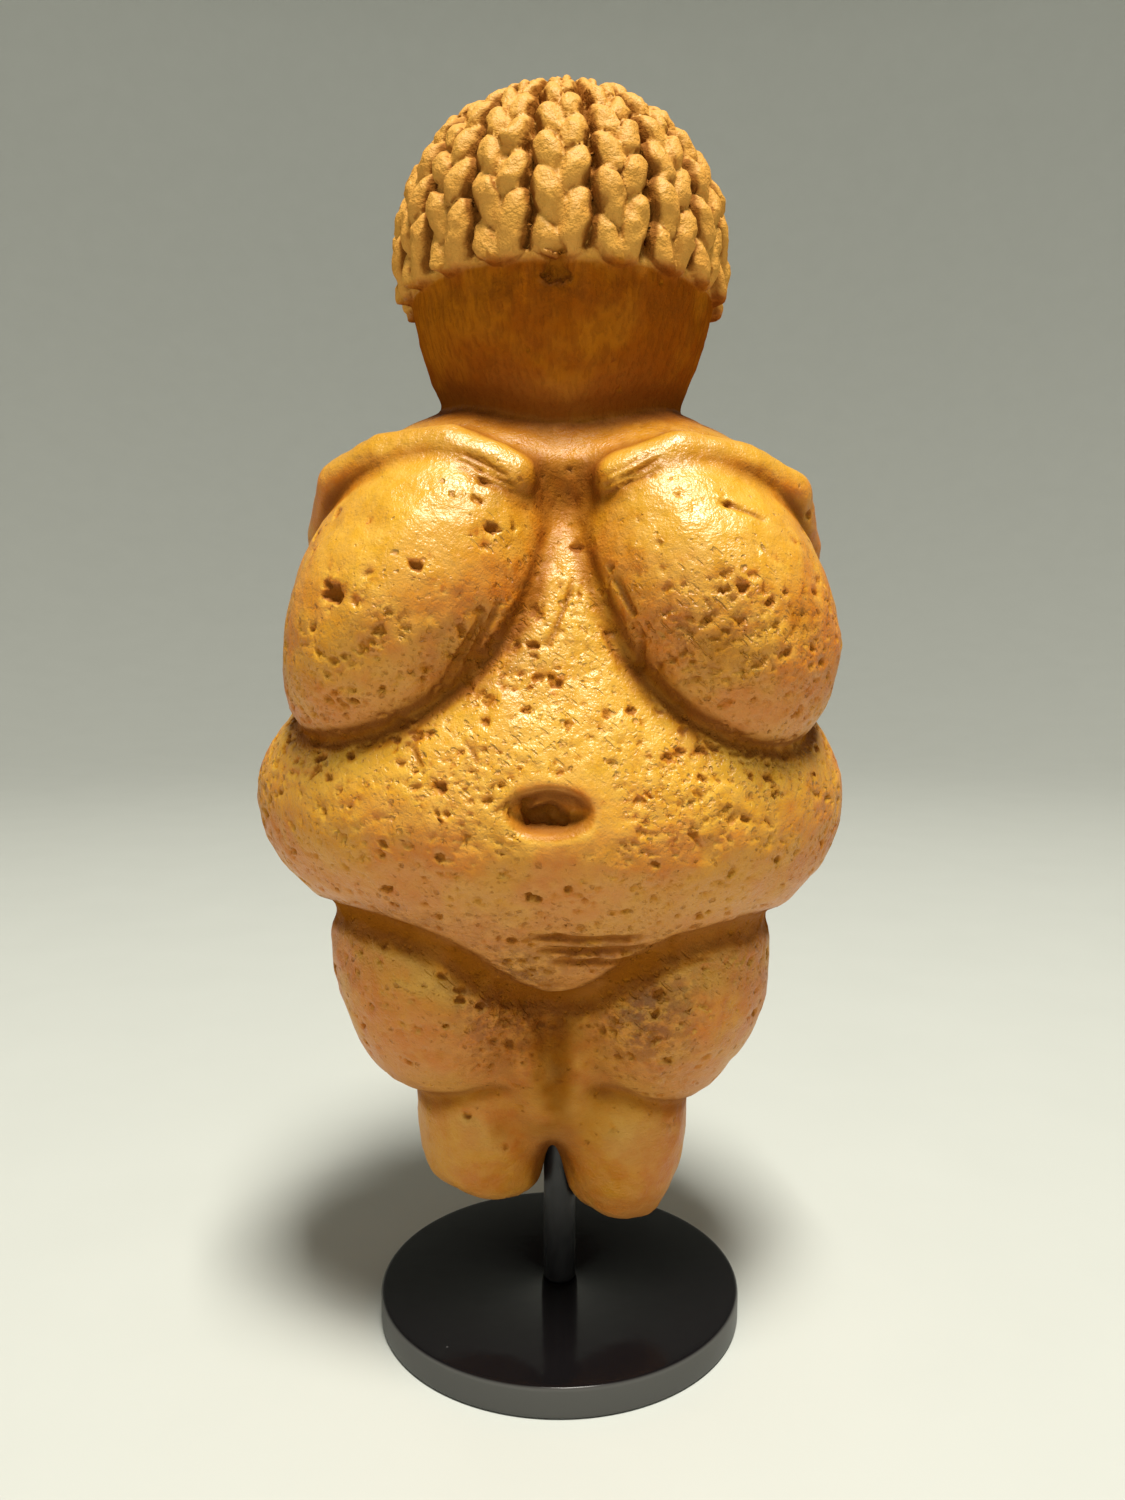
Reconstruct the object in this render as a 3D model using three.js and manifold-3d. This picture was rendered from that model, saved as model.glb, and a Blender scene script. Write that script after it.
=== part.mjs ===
// A venus figurine: a stout standing woman in cast stone, held up by a rod on a round black foot.
// Millimetres, +Z up. The figure faces -Y, and the origin is the middle of the foot's underside.
// The figure is one solid. Its body is the zero surface of soft-edged forms, and its head is a carved grid.
import * as THREE from "three";
import { mergeVertices } from "three/addons/utils/BufferGeometryUtils.js";
import Module from "manifold-3d";

// Stand
const DISC_RADIUS = 18;
const DISC_THICKNESS = 3;
const DISC_EDGE = 0.4;
const DISC_SIDES = 64;
const ROD_RADIUS = 1.6;
const ROD_SIDES = 16;
const TENON_RADIUS = 1.1;
const TENON_LENGTH = 2;
const FIT_GAP = 0.3;
const SOCKET_TOP = 31;

// Heights of the figure's landmarks above the surface that the foot stands on
const SOLE = 9.8;
const SOLE_SLOPE = 0.18;
const SOLE_LOW_AT = 9.5;
const GAP_TOP = 17.5;
const CALF = 20.5;
const THIGH = 38.5;
const SEAT = 45;
const NAVEL = 53.5;
const BELLY = 53;
const BUST = 69.8;
const SHOULDER = 77.3;
const HEAD = 102.5;
const CROWN = 115.7;

// Half widths, seen from the front
const HEAD_HALF = 14.2;
const SHOULDER_HALF = 23.2;
const BUST_HALF = 24.5;
const BELLY_HALF = 27.8;
const THIGH_HALF = 21.2;
const CALF_HALF = 13.5;

// Depths in front of and behind the rod's axis
const BUST_FRONT = 22;
const BELLY_FRONT = 22.5;
const BELLY_BACK = 20;
const BACK = 17.5;
const SEAT_BACK = 21.5;

// Cap of plaits that run down from a knot on the crown. Each plait is two rows of slanting lobes.
const PLAITS = 18;
const PLAIT_TWISTS = 6;
const PLAIT_HEIGHT = 1.7;
const CAP_SINK = 0.4;
const LOBE_OUT = 0.4;
const LOBE_WIDTH = 0.64;
const LOBE_LENGTH = 0.62;
const LOBE_SLANT = 0.4;
const KNOT_ANGLE = 16;
const RIM_FRONT = 98.3;
const RIM_BACK = 91;
const RIM_DROPS = { from: 0.62, to: 0.98 };

const degrees = THREE.MathUtils.degToRad;
const clamp = THREE.MathUtils.clamp;
const smooth = (low, high, v) => THREE.MathUtils.smoothstep(v, low, high);
const mix = THREE.MathUtils.lerp;

// Distance to an ellipsoid, turned about Y by an angle in degrees. Like every field here, it is negative
// inside.
function ellipsoid({ at: [cx, cy, cz], radii: [rx, ry, rz], turn = 0 }) {
  const c = Math.cos(degrees(turn));
  const s = Math.sin(degrees(turn));
  return (x, y, z) => {
    const u = ((x - cx) * c + (z - cz) * s) / rx;
    const v = (y - cy) / ry;
    const w = ((z - cz) * c - (x - cx) * s) / rz;
    const scaled = Math.hypot(u, v, w);
    const slope = Math.hypot(u / rx, v / ry, w / rz);
    return slope < 1e-9 ? -Math.min(rx, ry, rz) : (scaled * (scaled - 1)) / slope;
  };
}

// Distance to a round bar that tapers from one end's radius to the other's.
function bar([ax, ay, az], [bx, by, bz], radiusA, radiusB) {
  const [ex, ey, ez] = [bx - ax, by - ay, bz - az];
  const length2 = ex * ex + ey * ey + ez * ez;
  return (x, y, z) => {
    const [dx, dy, dz] = [x - ax, y - ay, z - az];
    const t = clamp((dx * ex + dy * ey + dz * ez) / length2, 0, 1);
    return Math.hypot(dx - t * ex, dy - t * ey, dz - t * ez) - mix(radiusA, radiusB, t);
  };
}

// Union and intersection with a soft seam about k wide.
function softMin(a, b, k) {
  const h = Math.max(k - Math.abs(a - b), 0) / k;
  return Math.min(a, b) - (h * h * k) / 4;
}

const softMax = (a, b, k) => -softMin(-a, -b, k);

// How soft the seam is where one form meets the next
const SEAM = {
  shoulders: 6,
  neck: 4,
  front: 5,
  spine: 3,
  belly: 5,
  calves: 2.5,
  web: 4,
  cleft: 2,
  seat: 4,
  mound: 4,
  sole: 2,
  hips: 1.6,
  upperArm: 3,
  underBreast: 0.8,
  overBreast: 7,
  forearm: 1.5,
  navel: 1,
};
const FOLD = { shoulders: 6, seat: 1.2, thighs: 2.5, calves: 0.8 };
const OVER_BREAST = { from: BUST + 7, to: BUST + 13 };

// The body's forms, from the shoulders down
const bellyDepth = (BELLY_FRONT + BELLY_BACK) / 2;
const trunk = ellipsoid({ at: [0, 0.5, 64], radii: [21.5, BACK - 0.5, 25] });
const front = ellipsoid({ at: [0, -7, 63], radii: [13, 11.3, 16] });
const neck = ellipsoid({ at: [0, 0.5, 82.5], radii: [13, 11, 8] });
const shoulder = ellipsoid({ at: [SHOULDER_HALF - 10, 1, SHOULDER], radii: [10, 12.5, 9] });
const belly = ellipsoid({ at: [0, BELLY_BACK - bellyDepth, BELLY], radii: [BELLY_HALF, bellyDepth, 16.4] });
const buttock = ellipsoid({ at: [10.2, SEAT_BACK - 12.5, SEAT], radii: [12, 12.5, 12] });
const mound = ellipsoid({ at: [0, -8.8, 43.4], radii: [10.5, 6.8, 8.2] });
const thigh = ellipsoid({ at: [THIGH_HALF - 11, -1.2, THIGH], radii: [11, 12.6, 15.5] });
const calf = ellipsoid({ at: [CALF_HALF - 6.6, 0.6, CALF], radii: [6.6, 7.8, 12.6], turn: -3 });
const web = ellipsoid({ at: [0, -2, GAP_TOP + 13.5], radii: [6, 8, 12] });
const cleft = bar([0, -10.8, 37], [0, -9, 19], 0.7, 0.7);
const navel = ellipsoid({ at: [0, -BELLY_FRONT - 0.4, NAVEL], radii: [3.4, 3, 1.9] });
const spine = bar([0, BACK + 2.2, 82], [0, SEAT_BACK + 1, 54], 2.6, 2.6);

const BREAST_RADII = [10.9, 12.6, 15.4];
const BREAST_AT = [BUST_HALF - 12.4, BREAST_RADII[1] - BUST_FRONT, BUST + 0.8];
const BREAST_TURN = 33;
const breast = ellipsoid({ at: BREAST_AT, radii: BREAST_RADII, turn: BREAST_TURN });

// Arms: each hangs by the side to its elbow, and the slender forearm comes up over the breast to the middle.
// Each row is a place and the arm's radius there, from the shoulder to the hand.
const ARM = [
  [SHOULDER_HALF - 5.4, 3, 79.5, 4.6],
  [20.6, 2, 68, 3],
  [21.2, -5, 76.5, 2.4],
  [19.4, -10, 80.4, 2.1],
  [15.3, -13.3, 82.4, 1.8],
  [9.5, -15.2, 82.9, 1.7],
  [4.2, -16.2, 80.3, 1.8],
];
const [upperArm, ...forearmParts] = ARM.slice(1).map((to, i) => bar(ARM[i], to, ARM[i][3], to[3]));
const forearm = (x, y, z) => Math.min(...forearmParts.map((part) => part(x, y, z)));

// A hand-made unevenness, so that the sides aren't mirror images: the legs and belly stand a little to one
// side of the rod's axis, the body leans the other way above them, and the whole is slightly bowed.
const OFF_AXIS = 0.7;
const LEAN = { reach: 1.2, from: 54, to: 72 };
const BOW = { reach: 0.4, length: 17, across: 23 };
const DROP = { reach: 0.6, length: 16, from: -0.7 };

function uneven(x, y, z) {
  return [
    x + OFF_AXIS - LEAN.reach * smooth(LEAN.from, LEAN.to, z),
    y + BOW.reach * Math.sin(z / BOW.length + x / BOW.across),
    z + DROP.reach * Math.sin(x / DROP.length + DROP.from),
  ];
}

// Distance to the body without its head.
function body(px, py, pz) {
  const [x, y, z] = uneven(px, py, pz);
  const side = Math.abs(x);
  const both = (form, fold) => softMin(form(x, y, z), form(-x, y, z), fold);
  let upper = softMin(trunk(x, y, z), both(shoulder, FOLD.shoulders), SEAM.shoulders);
  upper = softMin(upper, neck(x, y, z), SEAM.neck);
  upper = softMin(upper, front(x, y, z), SEAM.front);
  upper = softMax(upper, -spine(x, y, z), SEAM.spine);
  upper = softMin(upper, belly(x, y, z), SEAM.belly);
  upper = softMin(upper, mound(x, y, z), SEAM.mound);
  let lower = softMin(both(thigh, FOLD.thighs), both(calf, FOLD.calves), SEAM.calves);
  lower = softMin(lower, web(x, y, z), SEAM.web);
  lower = softMax(lower, -cleft(x, y, z), SEAM.cleft);
  lower = softMin(lower, both(buttock, FOLD.seat), SEAM.seat);
  lower = softMax(lower, SOLE + SOLE_SLOPE * (SOLE_LOW_AT - x) - z, SEAM.sole);
  let d = softMin(upper, lower, SEAM.hips);
  const breastSeam = mix(SEAM.underBreast, SEAM.overBreast, smooth(OVER_BREAST.from, OVER_BREAST.to, z));
  d = softMin(d, upperArm(side, y, z), SEAM.upperArm);
  d = softMin(d, both(breast, breastSeam), breastSeam);
  d = softMin(d, forearm(side, y, z), SEAM.forearm);
  return softMax(d, -navel(x, y, z), SEAM.navel);
}

// The sampling lattice is finer round the shins, where the form is slim, and round the forearms.
const LATTICE_HALF = 15;
const STEP_FULL = 3.25;
const STEP_SHINS = 2;
const STEP_ARMS = 2.2;
const SHINS_BELOW = 20;
const FULL_ABOVE = 36;
const ARMS_AT = 80;
const ARMS_REACH = 12;
const BODY_LOW = SOLE - 3;
const BODY_TOP = 96;

function latticeStep(z) {
  const arms = 1 - smooth(0, ARMS_REACH, Math.abs(z - ARMS_AT));
  return mix(STEP_SHINS, mix(STEP_FULL, STEP_ARMS, arms), smooth(SHINS_BELOW, FULL_ABOVE, z));
}

function levels(low, high) {
  const found = [low];
  while (found.at(-1) < high) found.push(found.at(-1) + latticeStep(found.at(-1)));
  return found;
}

// A lattice cell's corners are numbered by bits, its edges by two corners, and its faces by a ring of four.
const CORNERS = Array.from({ length: 8 }, (_, c) => [c & 1, (c >> 1) & 1, c >> 2]);
const EDGES = CORNERS.flatMap((_, a) => [1, 2, 4].filter((bit) => !(a & bit)).map((bit) => [a, a | bit]));
const FACES = [1, 2, 4].flatMap((bit) => {
  const [u, v] = [1, 2, 4].filter((other) => other !== bit);
  return [0, bit].map((side) => [side, side | u, side | u | v, side | v]);
});
const edgeNumber = (a, b) => EDGES.findIndex((edge) => edge.includes(a) && edge.includes(b));

// For a cell's pattern of inside corners, sets of crossed edges that belong to one sheet of the surface.
function sheetsOf(inside) {
  const crossed = EDGES.map(([a, b]) => inside[a] !== inside[b]);
  const group = EDGES.map((_, edge) => edge);
  const join = (a, b) => {
    const [keep, drop] = [group[a], group[b]];
    group.forEach((g, edge) => {
      if (g === drop) group[edge] = keep;
    });
  };
  for (const ring of FACES) {
    const around = ring.map((corner, m) => edgeNumber(corner, ring[(m + 1) % 4]));
    const cut = around.filter((edge) => crossed[edge]);
    if (cut.length === 2) join(...cut);
    if (cut.length < 4) continue;
    ring.forEach((corner, m) => {
      if (inside[corner]) join(around[m], around[(m + 3) % 4]);
    });
  }
  const sheets = new Map();
  group.forEach((g, edge) => {
    if (crossed[edge]) sheets.set(g, [...(sheets.get(g) ?? []), edge]);
  });
  return [...sheets.values()];
}

// Surface net: one point for each sheet in a cell, and a quad round each crossed lattice edge.
function netOf(field, low, high) {
  const zs = levels(low, high);
  const n = 2 * LATTICE_HALF + 1;
  const at = ([i, j, k]) => {
    const step = latticeStep(zs[k]);
    return [(i - LATTICE_HALF) * step, (j - LATTICE_HALF) * step, zs[k]];
  };
  const index = ([i, j, k]) => (k * n + j) * n + i;
  const sum = (a, b, times = 1) => a.map((v, axis) => v + times * b[axis]);
  const nodes = [];
  for (let k = 0; k < zs.length; k++) {
    for (let j = 0; j < n; j++) for (let i = 0; i < n; i++) nodes.push([i, j, k]);
  }
  const value = nodes.map((node) => field(...at(node)));
  const isLast = (node) => node[0] === n - 1 || node[1] === n - 1 || node[2] === zs.length - 1;

  const points = [];
  const pointOf = new Map();
  for (const node of nodes) {
    if (isLast(node)) continue;
    const corners = CORNERS.map((corner) => sum(node, corner));
    const values = corners.map((corner) => value[index(corner)]);
    const inside = values.map((v) => v < 0);
    if (inside.every((v) => v === inside[0])) continue;
    for (const sheet of sheetsOf(inside)) {
      const crossings = sheet.map((edge) => {
        const [from, to] = EDGES[edge].map((corner) => at(corners[corner]));
        return crossing(field, from, to);
      });
      for (const edge of sheet) pointOf.set(index(node) * EDGES.length + edge, points.length);
      points.push(meeting(crossings.map((p) => ({ p, normal: slopeOf(field, p) }))));
    }
  }

  const triangles = [];
  const units = [CORNERS[1], CORNERS[2], CORNERS[4]];
  for (const node of nodes) {
    if (isLast(node) || node.includes(0)) continue;
    for (const axis of [0, 1, 2]) {
      const here = value[index(node)] < 0;
      if (here === value[index(sum(node, units[axis]))] < 0) continue;
      const [u, v] = [(axis + 1) % 3, (axis + 2) % 3];
      const ring = [[1, 1], [0, 1], [0, 0], [1, 0]].map(([a, b]) => {
        const cell = sum(sum(node, units[u], -a), units[v], -b);
        const corner = (a << u) | (b << v);
        return pointOf.get(index(cell) * EDGES.length + edgeNumber(corner, corner | (1 << axis)));
      });
      const [a, b, c, d] = here ? ring : ring.reverse();
      const miss = (p, q) => Math.abs(field(...points[p].map((v, i) => (v + points[q][i]) / 2)));
      if (miss(a, c) < miss(b, d)) triangles.push([a, b, c], [a, c, d]);
      else triangles.push([a, b, d], [b, c, d]);
    }
  }
  return geometryOf(points, triangles);
}

// Where the field crosses zero between two points, found by halving the way between them.
const HALVINGS = 8;

function crossing(field, from, to) {
  let [low, high] = field(...from) < 0 ? [from, to] : [to, from];
  for (let step = 0; step < HALVINGS; step++) {
    const middle = low.map((v, axis) => (v + high[axis]) / 2);
    if (field(...middle) < 0) low = middle;
    else high = middle;
  }
  return low;
}

// The field's slope at a point, of length 1.
const SLOPE_REACH = 0.05;

function slopeOf(field, [x, y, z]) {
  const e = SLOPE_REACH;
  const slope = new THREE.Vector3(
    field(x + e, y, z) - field(x - e, y, z),
    field(x, y + e, z) - field(x, y - e, z),
    field(x, y, z + e) - field(x, y, z - e),
  );
  return slope.normalize().toArray();
}

// The point where the surface's tangent planes at some crossings meet, so that folds stay crisp. It is
// settled in small steps, and stays near the crossings' middle.
const MEETING_STEPS = 12;
const MEETING_REACH = 1.2;

function meeting(crossings) {
  const mean = (axis) => crossings.reduce((sum, { p }) => sum + p[axis], 0) / crossings.length;
  const middle = [mean(0), mean(1), mean(2)];
  let point = [...middle];
  for (let step = 0; step < MEETING_STEPS; step++) {
    const move = [0, 0, 0];
    for (const { p, normal } of crossings) {
      const off = normal.reduce((sum, n, axis) => sum + n * (p[axis] - point[axis]), 0);
      normal.forEach((n, axis) => {
        move[axis] += (n * off) / crossings.length;
      });
    }
    point = point.map((v, axis) => {
      return clamp(v + move[axis], middle[axis] - MEETING_REACH, middle[axis] + MEETING_REACH);
    });
  }
  return point;
}

function geometryOf(points, triangles) {
  return new THREE.BufferGeometry()
    .setAttribute("position", new THREE.Float32BufferAttribute(points.flat(), 3))
    .setIndex(triangles.flat());
}

// Head: an egg with its narrow end down, sunk into the shoulders. The cap covers it down to the rim.
const HEAD_DEPTH = 14.9;
const HEAD_FORWARD = 1.5;
const HEAD_ASIDE = 0.2;
const CHIN_REACH = 21;
const COLUMNS = 4 * PLAITS;
const KNOT_ROWS = 2;
const PLAIT_ROWS = 4 * PLAIT_TWISTS;
const FACE_ROWS = 5;
const RIM_STEP = 3;

// The angle down from the crown at which the cap ends, for a turn that is 0 at the front.
function rimAngle(turn) {
  const back = (1 - Math.cos(turn)) / 2;
  const rim = mix(RIM_FRONT, RIM_BACK, smooth(RIM_DROPS.from, RIM_DROPS.to, back));
  return Math.acos((rim - HEAD) / CHIN_REACH);
}

// How far the plaits stand out, at a turn about the head and a share of the way from knot to rim.
function plaitRelief(turn, down) {
  const round = (turn / (2 * Math.PI)) * PLAITS;
  const across = 2 * (round - Math.round(round));
  const lobeOf = (side, start) => {
    const off = across - side * LOBE_OUT;
    const along = PLAIT_TWISTS * down + start + LOBE_SLANT * side * off;
    const past = along - Math.round(along);
    return Math.sqrt(Math.max(1 - (off / LOBE_WIDTH) ** 2 - (past / LOBE_LENGTH) ** 2, 0));
  };
  return PLAIT_HEIGHT * Math.max(lobeOf(-1, 0), lobeOf(1, 0.5));
}

function headPoint(row, column) {
  const turn = (2 * Math.PI * column) / COLUMNS;
  const rim = rimAngle(turn);
  const knot = degrees(KNOT_ANGLE);
  let polar = (knot * row) / KNOT_ROWS;
  let relief = PLAIT_HEIGHT * Math.sqrt(Math.max(1 - (polar / knot) ** 2, 0)) - CAP_SINK;
  if (row > KNOT_ROWS) {
    const down = (row - KNOT_ROWS) / PLAIT_ROWS;
    polar = mix(knot, rim, down);
    relief = plaitRelief(turn, down) - CAP_SINK;
  }
  if (row > KNOT_ROWS + PLAIT_ROWS) {
    const down = (row - KNOT_ROWS - PLAIT_ROWS - 1) / (FACE_ROWS - 1);
    polar = mix(rim + degrees(RIM_STEP), Math.PI, down);
    relief = 0;
  }
  const reach = polar < Math.PI / 2 ? CROWN - HEAD : CHIN_REACH;
  const radii = new THREE.Vector3(HEAD_HALF, HEAD_DEPTH, reach);
  const flat = Math.sin(polar);
  const p = new THREE.Vector3(Math.sin(turn) * flat, -Math.cos(turn) * flat, Math.cos(polar)).multiply(radii);
  const normal = p.clone().divide(radii).divide(radii).normalize();
  p.addScaledVector(normal, relief);
  return [p.x + HEAD_ASIDE, p.y - HEAD_FORWARD, p.z + HEAD];
}

function headGeometry() {
  const rows = KNOT_ROWS + PLAIT_ROWS + FACE_ROWS;
  const points = [headPoint(0, 0)];
  for (let row = 1; row < rows; row++) {
    for (let column = 0; column < COLUMNS; column++) points.push(headPoint(row, column));
  }
  points.push(headPoint(rows, 0));
  const at = (row, column) => {
    if (row === 0) return 0;
    return row === rows ? points.length - 1 : 1 + (row - 1) * COLUMNS + (column % COLUMNS);
  };
  const triangles = [];
  for (let row = 0; row < rows; row++) {
    for (let column = 0; column < COLUMNS; column++) {
      const [a, b] = [at(row, column), at(row + 1, column)];
      const [c, d] = [at(row + 1, column + 1), at(row, column + 1)];
      if (row < rows - 1) triangles.push([a, b, c]);
      if (row > 0) triangles.push([a, c, d]);
    }
  }
  return geometryOf(points, triangles);
}

const wasm = await Module();
wasm.setup();

function solidOf(geometry) {
  geometry.deleteAttribute("normal");
  geometry.deleteAttribute("uv");
  const merged = mergeVertices(geometry);
  return new wasm.Manifold(
    new wasm.Mesh({
      numProp: 3,
      vertProperties: merged.attributes.position.array,
      triVerts: new Uint32Array(merged.index.array),
    }),
  );
}

function geometryFrom(solid) {
  const mesh = solid.getMesh();
  const geometry = new THREE.BufferGeometry()
    .setAttribute("position", new THREE.BufferAttribute(mesh.vertProperties, 3))
    .setIndex(new THREE.BufferAttribute(mesh.triVerts, 1))
    .toNonIndexed();
  geometry.computeVertexNormals();
  return geometry;
}

const SOCKET_FOOT = SOLE - 2;
const ROD_TOP = SOCKET_TOP - FIT_GAP;

function figurine() {
  const socketRadius = ROD_RADIUS + FIT_GAP;
  const socket = new THREE.CylinderGeometry(socketRadius, socketRadius, SOCKET_TOP - SOCKET_FOOT, ROD_SIDES);
  socket.rotateX(Math.PI / 2).translate(0, 0, (SOCKET_TOP + SOCKET_FOOT) / 2);
  const bodySolid = solidOf(netOf(body, BODY_LOW, BODY_TOP));
  const solid = bodySolid.add(solidOf(headGeometry())).subtract(solidOf(socket));
  const stone = new THREE.MeshStandardMaterial({ color: 0xc98a3a, roughness: 0.55, metalness: 0 });
  const mesh = new THREE.Mesh(geometryFrom(solid), stone);
  mesh.name = "figurine";
  return mesh;
}

// A turned part, from a profile of [radius, height] points that starts and ends on the axis.
function turned(name, profile, sides) {
  const geometry = new THREE.LatheGeometry(profile.map(([r, z]) => new THREE.Vector2(r, z)), sides);
  const lacquer = new THREE.MeshStandardMaterial({ color: 0x0b0b0c, roughness: 0.25, metalness: 0 });
  const mesh = new THREE.Mesh(geometry.rotateX(Math.PI / 2), lacquer);
  mesh.name = name;
  return mesh;
}

function standDisc() {
  const [r, t, e] = [DISC_RADIUS, DISC_THICKNESS, DISC_EDGE];
  const hole = TENON_RADIUS + FIT_GAP;
  const floor = t - TENON_LENGTH - FIT_GAP;
  const profile = [[0, 0], [r - e, 0], [r, e], [r, t - e], [r - e, t], [hole, t], [hole, floor], [0, floor]];
  return turned("stand_disc", profile, DISC_SIDES);
}

function standRod() {
  const foot = DISC_THICKNESS;
  const profile = [
    [0, foot - TENON_LENGTH],
    [TENON_RADIUS, foot - TENON_LENGTH],
    [TENON_RADIUS, foot],
    [ROD_RADIUS, foot],
    [ROD_RADIUS, ROD_TOP - ROD_RADIUS / 2],
    [ROD_RADIUS / 2, ROD_TOP],
    [0, ROD_TOP],
  ];
  return turned("stand_rod", profile, ROD_SIDES);
}

const object = new THREE.Group();
object.name = "venus_figurine";
object.add(figurine(), standRod(), standDisc());
export default object;
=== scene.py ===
"""A venus figurine of pitted ochre cast stone, held up by a rod on a round black foot.

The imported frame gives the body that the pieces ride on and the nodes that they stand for. The figurine is
made again here from the forms that its solid was made from, as a much finer mesh with its plaits, pores and
tool marks. Blender units are metres, and the forms' sizes are in millimetres, as the solid's are.
"""

import math

import bpy
import numpy as np
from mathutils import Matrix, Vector, kdtree


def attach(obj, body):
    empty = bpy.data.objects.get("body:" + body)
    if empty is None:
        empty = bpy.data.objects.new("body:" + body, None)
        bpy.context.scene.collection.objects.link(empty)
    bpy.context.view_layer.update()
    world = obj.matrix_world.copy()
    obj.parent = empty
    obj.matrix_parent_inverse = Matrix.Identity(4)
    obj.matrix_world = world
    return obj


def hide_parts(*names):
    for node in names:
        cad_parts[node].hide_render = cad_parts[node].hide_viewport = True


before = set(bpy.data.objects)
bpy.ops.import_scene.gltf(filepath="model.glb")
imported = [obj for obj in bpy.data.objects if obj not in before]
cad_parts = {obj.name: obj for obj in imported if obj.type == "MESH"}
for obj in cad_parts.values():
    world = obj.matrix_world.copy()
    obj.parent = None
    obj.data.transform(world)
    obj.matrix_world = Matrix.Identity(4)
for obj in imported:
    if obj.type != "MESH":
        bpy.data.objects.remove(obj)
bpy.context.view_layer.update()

MM = 0.001
rng = np.random.default_rng(11)

# Camera, placed from the foot's ellipse and the figure's height in the photograph. Its places are in metres,
# its tilt is in degrees and its lens in millimetres.
CAMERA_AT = (0.0003, -0.1119, 0.0675)
CAMERA_DOWN = 5.45
CAMERA_LENS = 27.6
CAMERA_NEAR = 0.005

# Heights of the figure's landmarks above the surface that the foot stands on
SOLE = 9.8
SOLE_SLOPE = 0.18
SOLE_LOW_AT = 9.5
GAP_TOP = 17.5
CALF = 20.5
THIGH = 38.5
SEAT = 45
NAVEL = 53.5
BELLY = 53
BUST = 69.8
SHOULDER = 77.3
HEAD = 102.5
CROWN = 115.7

# Half widths, seen from the front
HEAD_HALF = 14.2
SHOULDER_HALF = 23.2
BUST_HALF = 24.5
BELLY_HALF = 27.8
THIGH_HALF = 21.2
CALF_HALF = 13.5

# Depths in front of and behind the rod's axis
BUST_FRONT = 22
BELLY_FRONT = 22.5
BELLY_BACK = 20
BACK = 17.5
SEAT_BACK = 21.5
HEAD_DEPTH = 14.9
HEAD_FORWARD = 1.5
CHIN_REACH = 21

# Cap of plaits that run down from a knot on the crown. Lobes are in half plaits across and twists along,
# and the rim's scallop and edge are angles at the head's middle.
PLAITS = 18
PLAIT_TWISTS = 6
PLAIT_HEIGHT = 1.7
CAP_SINK = 0.4
LOBE_OUT = 0.4
LOBE_WIDTH = 0.64
LOBE_LENGTH = 0.62
LOBE_SLANT = 0.4
RIM_SCALLOP = 0.06
RIM_EDGE = 0.035
KNOT_ANGLE = math.radians(16)
RIM_FRONT = 98.3
RIM_BACK = 91
RIM_DROPS = (0.62, 0.98)

# Socket for the rod
ROD_RADIUS = 1.6
FIT_GAP = 0.3
SOCKET_TOP = 31


def smooth(low, high, v):
    """A soft step: 0 below low and 1 above high."""
    t = np.clip((v - low) / (high - low), 0, 1)
    return t * t * (3 - 2 * t)


def mix(a, b, t):
    return a + (b - a) * t


def soft_min(a, b, k):
    """The lesser of two distances, with the seam between them rounded where they are within k."""
    h = np.maximum(k - np.abs(a - b), 0) / k
    return np.minimum(a, b) - h * h * k / 4


def soft_max(a, b, k):
    """The greater of two distances, rounded in the same way."""
    return -soft_min(-a, -b, k)


def ellipsoid(at, radii, turn=0.0):
    """Distance to an ellipsoid turned about Y. Like all fields here, it is negative inside."""
    c, s = math.cos(math.radians(turn)), math.sin(math.radians(turn))
    rx, ry, rz = radii

    def distance(x, y, z):
        dx, dz = x - at[0], z - at[2]
        u, v, w = (dx * c + dz * s) / rx, (y - at[1]) / ry, (dz * c - dx * s) / rz
        scaled = np.sqrt(u * u + v * v + w * w)
        slope = np.sqrt((u / rx) ** 2 + (v / ry) ** 2 + (w / rz) ** 2)
        return scaled * (scaled - 1) / np.maximum(slope, 1e-9)

    return distance


def bar(a, b, radius_a, radius_b):
    """Distance to a round bar that tapers from one end's radius to the other's."""
    ex, ey, ez = (b[axis] - a[axis] for axis in range(3))
    length2 = ex * ex + ey * ey + ez * ez

    def distance(x, y, z):
        dx, dy, dz = x - a[0], y - a[1], z - a[2]
        t = np.clip((dx * ex + dy * ey + dz * ez) / length2, 0, 1)
        off = np.sqrt((dx - t * ex) ** 2 + (dy - t * ey) ** 2 + (dz - t * ez) ** 2)
        return off - mix(radius_a, radius_b, t)

    return distance


# How soft the seam is where one form meets the next, and the fold where a pair meets. The seam over the
# breasts softens between two heights.
SEAM = dict(shoulders=6, neck=4, front=5, spine=3, belly=5, calves=2.5, web=4, seat=4, mound=4, sole=2,
            cleft=2, hips=1.6, upper_arm=3, under_breast=0.8, over_breast=7, forearm=1.5, navel=1, chin=1.2)
FOLD = dict(shoulders=6, seat=1.2, thighs=2.5, calves=0.8)
OVER_BREAST = (BUST + 7, BUST + 13)

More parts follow.
